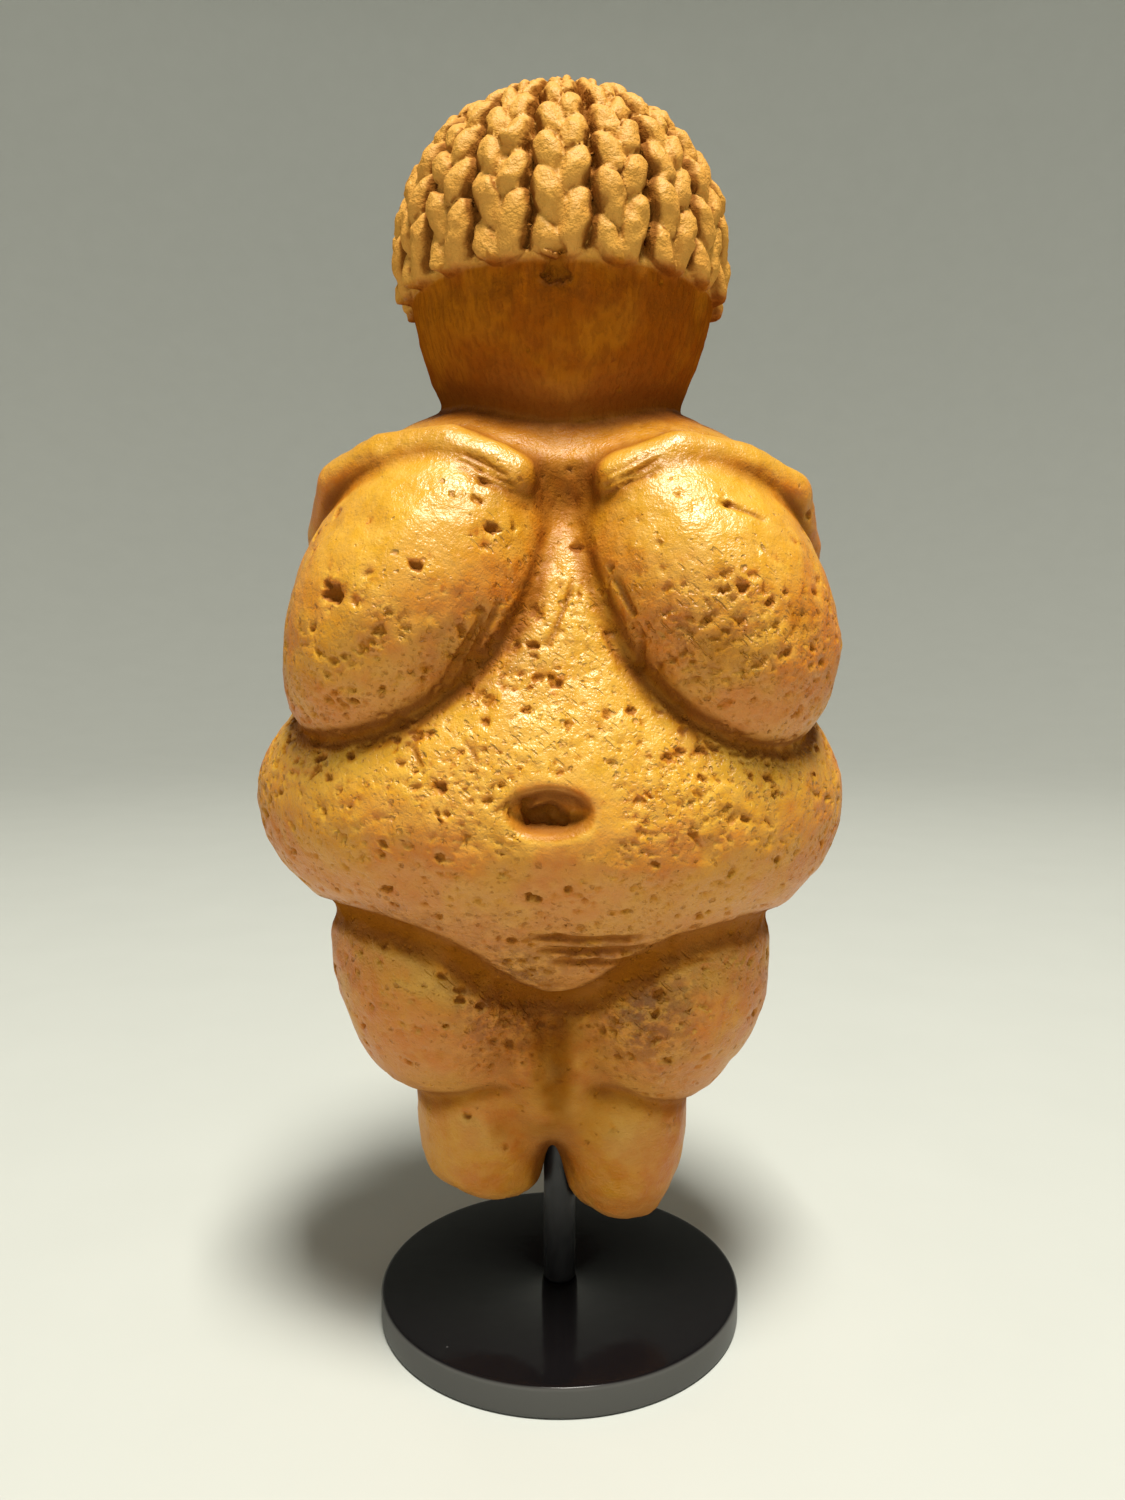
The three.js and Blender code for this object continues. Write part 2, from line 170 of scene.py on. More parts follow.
# The body's forms, from the shoulders down
belly_depth = (BELLY_FRONT + BELLY_BACK) / 2
trunk = ellipsoid((0, 0.5, 64), (21.5, BACK - 0.5, 25))
front = ellipsoid((0, -7, 63), (13, 11.3, 16))
neck = ellipsoid((0, 0.5, 82.5), (13, 11, 8))
shoulder = ellipsoid((SHOULDER_HALF - 10, 1, SHOULDER), (10, 12.5, 9))
belly = ellipsoid((0, BELLY_BACK - belly_depth, BELLY), (BELLY_HALF, belly_depth, 16.4))
buttock = ellipsoid((10.2, SEAT_BACK - 12.5, SEAT), (12, 12.5, 12))
mound = ellipsoid((0, -8.8, 43.4), (10.5, 6.8, 8.2))
thigh = ellipsoid((THIGH_HALF - 11, -1.2, THIGH), (11, 12.6, 15.5))
calf = ellipsoid((CALF_HALF - 6.6, 0.6, CALF), (6.6, 7.8, 12.6), turn=-3)
web = ellipsoid((0, -2, GAP_TOP + 13.5), (6, 8, 12))
cleft = bar((0, -10.8, 37), (0, -9, 19), 0.7, 0.7)
navel = ellipsoid((0, -BELLY_FRONT - 0.4, NAVEL), (3.4, 3, 1.9))
spine = bar((0, BACK + 2.2, 82), (0, SEAT_BACK + 1, 54), 2.6, 2.6)

BREAST_RADII = (10.9, 12.6, 15.4)
BREAST_AT = (BUST_HALF - 12.4, BREAST_RADII[1] - BUST_FRONT, BUST + 0.8)
BREAST_TURN = 33
breast = ellipsoid(BREAST_AT, BREAST_RADII, BREAST_TURN)

# Arms: each hangs by the side to its elbow, and the slender forearm comes up over the breast to the
# middle. Each row is a place and the arm's radius there, from the shoulder to the hand.
ARM = [
    (SHOULDER_HALF - 5.4, 3, 79.5, 4.6),
    (20.6, 2, 68, 3),
    (21.2, -5, 76.5, 2.4),
    (19.4, -10, 80.4, 2.1),
    (15.3, -13.3, 82.4, 1.8),
    (9.5, -15.2, 82.9, 1.7),
    (4.2, -16.2, 80.3, 1.8),
]
upper_arm, *forearm_parts = [bar(a, b, a[3], b[3]) for a, b in zip(ARM, ARM[1:])]

# A hand-made unevenness: the body stands a little off the rod's axis, leans the other way above, and bows
OFF_AXIS = 0.7
LEAN = 1.2
LEAN_FROM = 54
LEAN_TO = 72
HEAD_ASIDE = 0.2
BOW = dict(reach=0.4, length=17, across=23)
DROP = dict(reach=0.6, length=16, start=-0.7)


def uneven(x, y, z):
    """The place on the even form that a place on the uneven figure comes from."""
    return (x + OFF_AXIS - LEAN * smooth(LEAN_FROM, LEAN_TO, z),
            y + BOW["reach"] * np.sin(z / BOW["length"] + x / BOW["across"]),
            z + DROP["reach"] * np.sin(x / DROP["length"] + DROP["start"]))


def body_parts(px, py, pz):
    """Distances to the forms that the body is joined from, by name."""
    x, y, z = uneven(px, py, pz)
    side = np.abs(x)

    def both(form, fold):
        return soft_min(form(x, y, z), form(-x, y, z), fold)

    upper = soft_min(trunk(x, y, z), both(shoulder, FOLD["shoulders"]), SEAM["shoulders"])
    upper = soft_min(upper, neck(x, y, z), SEAM["neck"])
    upper = soft_min(upper, front(x, y, z), SEAM["front"])
    upper = soft_max(upper, -spine(x, y, z), SEAM["spine"])
    upper = soft_min(upper, belly(x, y, z), SEAM["belly"])
    upper = soft_min(upper, mound(x, y, z), SEAM["mound"])
    thighs, calves = both(thigh, FOLD["thighs"]), both(calf, FOLD["calves"])
    lower = soft_min(thighs, calves, SEAM["calves"])
    lower = soft_min(lower, web(x, y, z), SEAM["web"])
    lower = soft_max(lower, -cleft(x, y, z), SEAM["cleft"])
    lower = soft_min(lower, both(buttock, FOLD["seat"]), SEAM["seat"])
    lower = soft_max(lower, SOLE + SOLE_SLOPE * (SOLE_LOW_AT - x) - z, SEAM["sole"])
    breast_seam = mix(SEAM["under_breast"], SEAM["over_breast"], smooth(*OVER_BREAST, z))
    breasts = both(breast, breast_seam)
    arms = np.minimum.reduce([part(side, y, z) for part in forearm_parts])
    return dict(upper=upper, lower=lower, thighs=thighs, calves=calves, breasts=breasts,
                breast_seam=breast_seam, arms=arms, upper_arm=upper_arm(side, y, z),
                navel=navel(x, y, z), middle=side)


def body(x, y, z):
    """Distance to the body without its head."""
    part = body_parts(x, y, z)
    d = soft_min(part["upper"], part["lower"], SEAM["hips"])
    d = soft_min(d, part["upper_arm"], SEAM["upper_arm"])
    d = soft_min(d, part["breasts"], part["breast_seam"])
    d = soft_min(d, part["arms"], SEAM["forearm"])
    return soft_max(d, -part["navel"], SEAM["navel"])


def rim_height(turn):
    """How high the cap's rim is, for a turn about the head that is 0 at the front."""
    back = (1 - np.cos(turn)) / 2
    return mix(RIM_FRONT, RIM_BACK, smooth(*RIM_DROPS, back))


def cap_relief(turn, polar):
    """How far the cap stands out: plaits, each of two rows of lobes that slant down to its middle."""
    rim = np.arccos((rim_height(turn) - HEAD) / CHIN_REACH)
    around = turn / (2 * math.pi) * PLAITS
    across = 2 * (around - np.round(around))
    down = PLAIT_TWISTS * (polar - KNOT_ANGLE) / (rim - KNOT_ANGLE)
    lobes = np.zeros_like(down)
    for side, start in ((-1, 0), (1, 0.5)):
        off = across - side * LOBE_OUT
        along = down + start + LOBE_SLANT * side * off
        along -= np.round(along)
        lobe = 1 - (off / LOBE_WIDTH) ** 2 - (along / LOBE_LENGTH) ** 2
        lobes = np.maximum(lobes, np.sqrt(np.maximum(lobe, 0)))
    knot = np.sqrt(np.maximum(1 - (polar / KNOT_ANGLE) ** 2, 0))
    end = rim - RIM_SCALLOP * across ** 2
    relief = PLAIT_HEIGHT * np.where(polar < KNOT_ANGLE, knot, lobes) - CAP_SINK
    return relief * (1 - smooth(0, RIM_EDGE, polar - end))


def head(px, py, pz):
    """Distance to the head: an egg with its narrow end down, and the cap on it down to the rim."""
    x, y, z = px - HEAD_ASIDE, py + HEAD_FORWARD, pz - HEAD
    reach = np.where(z > 0, CROWN - HEAD, CHIN_REACH)
    w = z / reach
    u, v = x / HEAD_HALF, y / HEAD_DEPTH
    scaled = np.sqrt(u * u + v * v + w * w)
    slope = np.sqrt((u / HEAD_HALF) ** 2 + (v / HEAD_DEPTH) ** 2 + (w / reach) ** 2)
    distance = scaled * (scaled - 1) / np.maximum(slope, 1e-9)
    polar = np.arccos(np.clip(w / np.maximum(scaled, 1e-9), -1, 1))
    return distance - cap_relief(np.arctan2(u, -v), polar)


# The body reaches no higher than the one height and the head no lower than the other. A place where
# neither is worked out counts as far off.
BODY_TOP = 100
CHIN_FOOT = 78
FAR = 20


def figure(x, y, z):
    """Distance to the whole figure, with the socket that the rod goes into."""
    d = np.full(x.shape, float(FAR))
    low, high = z < BODY_TOP, z > CHIN_FOOT
    d[low] = body(x[low], y[low], z[low])
    d[high] = soft_min(d[high], head(x[high], y[high], z[high]), SEAM["chin"])
    off = np.sqrt(x * x + y * y) - (ROD_RADIUS + FIT_GAP)
    return np.maximum(d, -np.maximum(off, z - SOCKET_TOP))


def grown(mask):
    """The mask and every block that shares a face with it."""
    out = mask.copy()
    for axis in range(3):
        for way in (1, -1):
            out |= np.roll(mask, way, axis)
    return out


# How far from its surface the field is worked out in full, in blocks
NEAR_BLOCKS = 1.1


def sampled(field, low, high, step, block=4):
    """The field on a lattice, worked out in full only in the blocks near its surface."""
    count = np.ceil((high - low) / (step * block)).astype(int)
    middles = [low[a] + (np.arange(count[a]) + 0.5 - 0.5 / block) * block * step for a in range(3)]
    rough = field(*np.meshgrid(*middles, indexing="ij"))
    near = (np.abs(rough) < NEAR_BLOCKS * block * step) | (grown(rough < 0) & grown(rough > 0))
    value, mask = rough, near
    for axis in range(3):
        value, mask = value.repeat(block, axis), mask.repeat(block, axis)
    value[mask] = field(*(low[a] + step * part for a, part in enumerate(np.nonzero(mask))))
    return value


def surface_net(value, low, step):
    """One point in each lattice cell that the surface crosses, and a quad round each crossed edge."""
    inside = value < 0
    last = np.array(value.shape) - 1
    total = sum(inside[i:last[0] + i, j:last[1] + j, k:last[2] + k].astype(np.uint8)
                for i in (0, 1) for j in (0, 1) for k in (0, 1))
    active = (total > 0) & (total < 8)
    cells = np.argwhere(active)
    units = np.eye(3, dtype=int)
    middle, hits = np.zeros((len(cells), 3)), np.zeros(len(cells))
    for axis in range(3):
        u, v = units[(axis + 1) % 3], units[(axis + 2) % 3]
        for corner in (0 * u, u, v, u + v):
            a = value[tuple((cells + corner).T)]
            b = value[tuple((cells + corner + units[axis]).T)]
            cut = (a < 0) != (b < 0)
            t = a[cut] / (a[cut] - b[cut])
            middle[cut] += corner + t[:, None] * units[axis]
            hits[cut] += 1
    points = low + step * (cells + middle / hits[:, None])
    number = np.full(active.shape, -1)
    number[active] = np.arange(len(cells))
    quads = []
    for axis in range(3):
        u, v = units[(axis + 1) % 3], units[(axis + 2) % 3]
        nodes = np.argwhere(inside != np.roll(inside, -1, axis))
        nodes = nodes[(nodes[:, axis] < last[axis]) & (nodes @ u > 0) & (nodes @ v > 0)]
        ring = [number[tuple((nodes - corner).T)] for corner in (u + v, v, 0 * u, u)]
        quad = np.stack(ring, axis=1)
        outward = inside[tuple(nodes.T)]
        quad[~outward] = quad[~outward][:, ::-1]
        quads.append(quad)
    return points, np.concatenate(quads)


def slope_of(field, p, e=0.05):
    """The field's slope at each point, from its values a little to both sides."""
    x, y, z = p.T
    return np.stack([field(x + e, y, z) - field(x - e, y, z),
                     field(x, y + e, z) - field(x, y - e, z),
                     field(x, y, z + e) - field(x, y, z - e)], axis=1) / (2 * e)


# The least square of a slope that points are moved by, so that none is thrown off where the field is flat
LEAST_SLOPE = 0.25


def settle(field, p, steps=2, most=0.2):
    """Moves points onto the field's zero surface, straight down its slope."""
    for _ in range(steps):
        slope = slope_of(field, p)
        by = field(*p.T) / np.maximum((slope * slope).sum(1), LEAST_SLOPE)
        p = p - slope * np.clip(by, -most, most)[:, None]
    return p


# Large odd numbers and shifts that scramble a lattice cell and a seed into one random word
WORD = 0xFFFFFFFF
CELL_FACTORS = (73856093, 19349663, 83492791)
SEED_FACTOR = 961748927
SCRAMBLES = ((13, 1274126177), (16, 2246822519))


def noise(p, size, seed):
    """Smooth noise from -1 to 1, with lumps about size wide."""
    q = p / size
    cell = np.floor(q).astype(np.int64)
    f = q - cell
    f = f * f * (3 - 2 * f)
    total = np.zeros(len(p))
    for corner in np.ndindex(2, 2, 2):
        i, j, k = ((cell + corner) * CELL_FACTORS).T
        h = (i ^ j ^ k ^ seed * SEED_FACTOR) & WORD
        for shift, factor in SCRAMBLES:
            h = ((h ^ (h >> shift)) * factor) & WORD
        weight = np.prod(np.where(corner, f, 1 - f), axis=1)
        total += weight * (h / (WORD // 2) - 1)
    return total


def layered_noise(p, layers, seed):
    """Noise in layers of (size of the lumps, reach), each with a seed of its own."""
    return sum(reach * noise(p, size, seed + i) for i, (size, reach) in enumerate(layers))


# How fine the figurine's mesh is: the lattice's step, and the triangles it is brought down to
NET_STEP = 0.22
TRIANGLES = 194000


def under(low, high, v):
    """1 below low and 0 above high."""
    return 1 - smooth(low, high, v)


# How far off the socket's wall the surface starts to be uneven, and where it is so in full
OFF_SOCKET = (0.5, 2)

# Heights off the cap's rim between which a point comes to lie on the cap
CAP_EDGE = (-0.6, 0.2)


def bare(p):
    """0 by the rod's socket, which stays as the solid has it, and 1 on the rest."""
    wall = ROD_RADIUS + FIT_GAP
    return smooth(wall + OFF_SOCKET[0], wall + OFF_SOCKET[1], np.hypot(p[:, 0], p[:, 1]))


def on_cap(p):
    """1 on the cap, down to its rim, and 0 on the rest."""
    turn = np.arctan2(p[:, 0] - HEAD_ASIDE, -p[:, 1] - HEAD_FORWARD)
    return smooth(*CAP_EDGE, p[:, 2] - rim_height(turn))


def frontal(normals, low, high):
    """1 where the surface faces the front, and 0 at the sides and behind."""
    return smooth(low, high, -normals[:, 1])


# Pits are as (x, z, radius), seen from the front. Dents are as (x, z, radius, depth), and a bump is a dent
# of depth below 0. Grooves are as their two ends, half width and depth.
LARGE_PITS = [
    (-18.0, 71.4, 1.0), (-11.0, 73.4, 0.55), (-5.2, 76.4, 0.6), (-16.6, 62.6, 0.45), (-2.2, 46.8, 0.6),
    (-9.6, 56.0, 0.6), (0.8, 47.6, 0.4), (17.6, 56.0, 0.5), (11.6, 58.6, 0.45), (-14.2, 51.2, 0.4),
    (7.9, 49.6, 0.4), (-8.6, 36.2, 0.5), (-4.6, 34.9, 0.45), (14.4, 71.5, 0.5), (18.6, 48.8, 0.4),
    (-20.8, 58.9, 0.4), (5.9, 61.8, 0.4), (-6.8, 35.2, 0.45), (-10.0, 33.6, 0.4), (9.0, 66.0, 0.4),
    (-1.6, 53.6, 1.2), (0.2, 53.3, 0.8), (-0.6, 96.8, 0.8), (0.4, 96.9, 0.6),
]
DENTS = [
    (19.6, 69.3, 3.0, 0.35), (12.8, 66.8, 3.4, 0.3), (-8.0, 66.0, 3.2, 0.2), (-15.2, 77.0, 2.6, 0.2),
    (-11.6, 47.4, 3.2, 0.15), (9.4, 36.4, 3.0, 0.2), (-5.6, 21.6, 2.4, 0.15), (-0.2, 98.0, 1.4, 0.7),
    (-7.0, 26.0, 4.0, -0.35), (7.6, 26.4, 4.0, -0.3),
]
GROOVES = [
    ((-2.8, 42.7), (7.0, 42.5), 0.25, 0.4), ((-2.0, 41.4), (7.6, 41.2), 0.25, 0.4),
    ((-0.8, 40.1), (6.4, 40.0), 0.22, 0.35),
    ((1.4, 72.6), (-0.9, 66.9), 0.18, 0.25), ((6.6, 67.6), (6.5, 64.6), 0.22, 0.3),
    ((-11.8, 59.0), (-11.0, 57.2), 0.2, 0.25), ((-7.2, 59.4), (-6.4, 57.6), 0.2, 0.25),
    ((-4.6, 70.6), (-7.4, 65.4), 0.22, 0.3), ((-5.6, 70.0), (-9.4, 63.8), 0.22, 0.3),
    ((4.4, 72.8), (6.2, 69.4), 0.22, 0.3), ((12.6, 78.6), (16.8, 77.2), 0.2, 0.25),
]

# Lines between the fingers: how far each lies off the forearm's middle, where they start and end along its
# last bar, and their half width and depth
FINGERS = (-0.9, -0.15, 0.6)
FINGERS_ALONG = (0.2, 1.15)
FINGER_LINE = (0.13, 0.16)

# How squarely the surface faces the front where tool marks start to show, and where they show in full
CARVED_FRONT = (0.1, 0.35)

# How grooves wander, where their walls start and end in half widths, and how steeply a dent's edge falls
GROOVE_BEND = dict(reach=0.25, size=1.5, seed=41)
GROOVE_WALL = (0.3, 2.2)
DENT_STEEPNESS = 1.6


def finger_lines():
    """Grooves that part the fingers, along the end of each forearm."""
    made = []
    (wrist_x, _, wrist_z, _), (hand_x, _, hand_z, _) = ARM[-2:]
    for side in (-1, 1):
        for off in FINGERS:
            ends = [(side * mix(wrist_x, hand_x, t), mix(wrist_z, hand_z, t) + off) for t in FINGERS_ALONG]
            made.append((*ends, *FINGER_LINE))
    return made


# Where one form meets the next: which two, the crease's width and depth, and its stain's width and strength
CREASES = [
    ("upper", "lower", 1.5, 0.6, 2.6, 1.0),
    ("thighs", "calves", 1.1, 0.4, 1.4, 0.3),
    ("breasts", "rest", 0.7, 0.25, 1.3, 0.7),
    ("arms", "under_arms", 0.6, 0.14, 0.8, 0.4),
]

# How far off both forms a crease fades out, and the heights where the breasts' own crease does
CREASE_FADE = (1, 3)
CREASED_TO = (70, 79)

# The stained valley between the legs: its half width, and the heights where it starts and ends
VALLEY = dict(width=2.4, foot=(18, 24), top=(36, 40), dark=0.8)


def creased(p):
    """How deep the creases are cut, and how dark they are, at each point."""
    part = body_parts(*p.T)
    part["rest"] = soft_min(part["upper"], part["lower"], SEAM["hips"])
    part["under_arms"] = soft_min(part["rest"], part["breasts"], SEAM["under_breast"])
    depth, dark = np.zeros(len(p)), np.zeros(len(p))
    low = under(*CREASED_TO, p[:, 2])
    for one, other, width, deep, stain, shade in CREASES:
        apart = part[one] - part[other]
        fade = under(*CREASE_FADE, np.maximum(part[one], part[other])) * (low if other == "rest" else 1)
        depth = np.maximum(depth, deep * fade * np.exp(-(apart / width) ** 2))
        dark = np.maximum(dark, shade * fade * np.exp(-(apart / stain) ** 2))
    inner = np.exp(-(part["middle"] / VALLEY["width"]) ** 2) * (p[:, 1] < 0)
    inner *= smooth(*VALLEY["foot"], p[:, 2]) * under(*VALLEY["top"], p[:, 2])
    return depth, np.maximum(dark, VALLEY["dark"] * inner)


# Patches on the front, as (x, z, half width, half height, strength): where the stone is hatched, where it
# is stained, and where the head's shadow is painted on the chest in the face's darker colour
HATCHED = [
    (12, 69, 8, 5, 1.0), (-3.6, 73, 3, 6, 0.8), (-8, 66, 6, 3, 0.4), (-6, 58.5, 8, 4, 0.7),
    (3, 62, 5, 6, 0.5), (8, 38, 7, 7, 0.8), (-6, 38, 6, 7, 0.7), (0, 44, 8, 2, 0.8),
]
STAINED = [
    (-4.5, 36, 4.5, 7, 0.9), (7.5, 35, 5, 6, 0.8), (-14, 43.5, 5, 2, 0.5), (3, 41, 6, 2.2, 0.6),
    (11, 68, 5, 4, 0.45), (-6, 66.5, 5, 4, 0.45), (0, 96, 12, 1.6, 0.6), (-0.2, 96.9, 1.5, 0.9, 1.0),
    (-5, 80, 4, 2, 0.4),
]
HEAD_SHADOW = [(1.0, 80, 11, 4.5, 0.25)]


def patched(p, patches):
    """How strongly the patches mark each point, whichever way it faces."""
    strength = np.zeros(len(p))
    for x, z, wide, high, most in patches:
        far = ((p[:, 0] - x) / wide) ** 2 + ((p[:, 2] - z) / high) ** 2
        strength = np.maximum(strength, most * np.exp(-far))
    return strength


# Bands of pores, as (height, half height, density): over the belly, the breasts' lower half and the thighs
PORE_BANDS = [(55, 9, 1), (67, 6, 0.7), (36, 8, 0.35)]

# How dense the pores are off the bands, in the thinnest places among their clusters, in stains, on the back
# as a share of the front, and on the bare rest
PORE_SHARES = dict(off_bands=0.1, thinnest=0.5, stained=0.8, back=0.5, rest=0.015)
CLUSTERS = dict(size=7, seed=21, low=-0.5, high=0.6)

# Where the pores thin out: depths towards the back, distances off the navel, and heights at both ends
BACK_FROM = (2, 9)
OFF_NAVEL = (2.5, 4)
NAVEL_WIDTH = 0.7
PORES_TO = (79, 84)
PORES_FROM = (16, 24)


def pore_density(p):
    """How closely the pores lie: most on the belly and the lower half of the breasts, least on the face."""
    x, y, z = p.T
    dense = np.full(len(p), PORE_SHARES["off_bands"])
    for height, half, most in PORE_BANDS:
        dense += most * np.exp(-((z - height) / half) ** 2)
    clusters = smooth(CLUSTERS["low"], CLUSTERS["high"], noise(p, CLUSTERS["size"], CLUSTERS["seed"]))
    dense *= mix(PORE_SHARES["thinnest"], 1, clusters)
    dense += PORE_SHARES["stained"] * patched(p, STAINED) * (y < 0)
    dense *= mix(1, PORE_SHARES["back"], smooth(*BACK_FROM, y))
    off_navel = np.hypot((x - OFF_AXIS) * NAVEL_WIDTH, z - NAVEL)
    dense *= smooth(*OFF_NAVEL, off_navel) + (y > 0)
    return np.clip(dense, 0, 1) * under(*PORES_TO, z) * smooth(*PORES_FROM, z) + PORE_SHARES["rest"]


# Pits cut into the mesh. The small ones crowd where the density is high, and the bigger ones are rarer.
# Their depths, reach and flat floor are in radii. Each pit is stretched along its lean and narrowed across
# it, and its wall is ragged by noise. The large pits go where the surface faces the front.
SMALL_PITS = 6000
PIT_RADII = (0.2, 0.52)
PIT_RARITY = 6
PIT_CROWDING = 1.5
PIT_DEPTHS = (0.45, 0.85)
SMALL_PIT = dict(ragged=0.55, lean=0.6)
LARGE_PIT = dict(deep=0.95, ragged=0.5, lean=0.3)
PIT_REACH = 1.9
PIT_STRETCH = (0.78, 1.2)
PIT_FLOOR = 0.45
RAGGED = dict(size=0.55, seed=31)
PIT_FACING = 0.2


def pit_depths(points, normals, tree, centre, radius, depth, ragged, lean):
    """One pit, as the numbers of the points near it and how deep it is at each."""
    near = [found[1] for found in tree.find_range(points[centre], radius * PIT_REACH)]
    away = points[near] - points[centre]
    normal = normals[centre]
    away -= np.outer(away @ normal, normal)
    across = np.cross(normal, (0, 0, 1))
    across /= max(np.linalg.norm(across), 1e-6)
    rise = np.cross(across, normal)
    c, s = math.cos(lean), math.sin(lean)
    u, v = away @ across, away @ rise
    along, aside = (u * c + v * s) * PIT_STRETCH[0], (v * c - u * s) * PIT_STRETCH[1]
    far = np.hypot(along, aside) / radius
    far += ragged * noise(points[near], radius * RAGGED["size"], RAGGED["seed"])
    return near, depth * under(PIT_FLOOR, 1, far)


def pitted(points, normals):
    """How deep the pits are at each point."""
    tree = kdtree.KDTree(len(points))
    for i, p in enumerate(points):
        tree.insert(p, i)
    tree.balance()
    depth = np.zeros(len(points))

    def dig(centre, radius, deep, ragged, lean):
        near, by = pit_depths(points, normals, tree, centre, radius, deep, ragged, lean)
        np.maximum.at(depth, near, by)

    density = pore_density(points) * bare(points) * (1 - on_cap(points))
    weight = density ** PIT_CROWDING
    for centre in rng.choice(len(points), SMALL_PITS, replace=False, p=weight / weight.sum()):
        radius = mix(*PIT_RADII, rng.random() ** PIT_RARITY)
        deep = radius * rng.uniform(*PIT_DEPTHS)
        dig(centre, radius, deep, SMALL_PIT["ragged"], rng.normal(0, SMALL_PIT["lean"]))
    behind = np.where(normals[:, 1] < -PIT_FACING, 0, np.inf)
    for x, z, radius in LARGE_PITS:
        off = np.hypot(points[:, 0] - x, points[:, 2] - z) + behind
        dig(int(off.argmin()), radius, radius * LARGE_PIT["deep"], LARGE_PIT["ragged"], LARGE_PIT["lean"])
    return depth


def grooved(points, normals):
    """How deep the tool marks of the front are at each point."""
    x, z = points[:, 0], points[:, 2]
    facing = frontal(normals, *CARVED_FRONT)
    bend = GROOVE_BEND["reach"] * noise(points, GROOVE_BEND["size"], GROOVE_BEND["seed"])
    bottom, rim = GROOVE_WALL
    depth = np.zeros(len(points))
    for (ax, az), (bx, bz), width, deep in GROOVES + finger_lines():
        ex, ez = bx - ax, bz - az
        t = np.clip(((x - ax) * ex + (z - az) * ez) / (ex * ex + ez * ez), 0, 1)
        far = np.hypot(x - ax - t * ex, z - az - t * ez + bend)
        taper = np.sqrt(np.maximum(1 - (2 * t - 1) ** 4, 0))
        depth = np.maximum(depth, deep * facing * taper * under(bottom * width, rim * width, far))
    return depth


def dented(points, normals):
    """How deep the wide dents of the front are at each point."""
    x, z = points[:, 0], points[:, 2]
    depth = np.zeros(len(points))
    for dx, dz, radius, deep in DENTS:
        depth += deep * np.exp(-((x - dx) ** 2 + (z - dz) ** 2) / (radius / DENT_STEEPNESS) ** 2)
    return depth * frontal(normals, *CARVED_FRONT)


# Layers of unevenness on the body and on the plaits, as (size of the lumps, how far they stand out)
BODY_LUMPS = dict(layers=((5.5, 0.22), (2.4, 0.13), (1.1, 0.07)), seed=1)
PLAIT_LUMPS = dict(layers=((1.4, 0.18), (0.7, 0.17)), seed=4)


def lumps(p):
    """The slow unevenness of a carved surface, and the rough skin of the plaits."""
    return mix(layered_noise(p, **BODY_LUMPS), layered_noise(p, **PLAIT_LUMPS), on_cap(p))


def mesh_of(name, points, faces):
    """A smooth-shaded mesh of points in millimetres and faces that all have as many corners."""
    mesh = bpy.data.meshes.new(name)
    mesh.vertices.add(len(points))
    mesh.vertices.foreach_set("co", (points * MM).astype(np.float32).ravel())
    size = faces.shape[1]
    mesh.loops.add(faces.size)
    mesh.loops.foreach_set("vertex_index", faces.astype(np.int32).ravel())
    mesh.polygons.add(len(faces))
    mesh.polygons.foreach_set("loop_start", np.arange(0, faces.size, size, dtype=np.int32))
    mesh.update(calc_edges=True)
    mesh.validate()
    mesh.shade_smooth()
    return mesh


def piece(name, data):
    made = bpy.data.objects.new(name, data)
    bpy.context.scene.collection.objects.link(made)
    return made


def triples(collection, name):
    """A mesh collection's vectors, one to a row."""
    flat = np.empty(len(collection) * 3, dtype=np.float32)
    collection.foreach_get(name, flat)
    return flat.reshape(-1, 3).astype(float)


def decimated(made, triangles):
    """Brings the piece down to about that many triangles, with fewer of them where it is flat."""
    count = sum(len(p.vertices) - 2 for p in made.data.polygons)
    fewer = made.modifiers.new("fewer", "DECIMATE")
    fewer.ratio = min(1, triangles / count)
    fewer.use_collapse_triangulate = True
    old = made.data
    depsgraph = bpy.context.evaluated_depsgraph_get()
    made.data = bpy.data.meshes.new_from_object(made.evaluated_get(depsgraph))
    made.modifiers.clear()
    bpy.data.meshes.remove(old)
    made.data.shade_smooth()


def attribute(mesh, name, values):
    """Gives the mesh a number at each point, which its material reads by name."""
    made = mesh.attributes.new(name, "FLOAT", "POINT")
    made.data.foreach_set("value", values.astype(np.float32))


# Heights between which the stone turns to the darker, redder colour of the painted shade under the cap
CAP_SHADE_HEIGHTS = (80, 92)

# Reach of each measure of how hollow the surface is, and how much it counts. The stone's material paints
# shade in hollows by it.
HOLLOWS = ((0.8, 0.3), (2.5, 0.4), (7, 0.3))

# What frays the stain along the creases, and how squarely a patched place faces the front
FRAYED = dict(layers=((2.6, 1), (1.1, 0.5)), seed=51)
FRAYED_RANGE = (-0.7, 0.4)
PATCHED_FRONT = (0, 0.4)


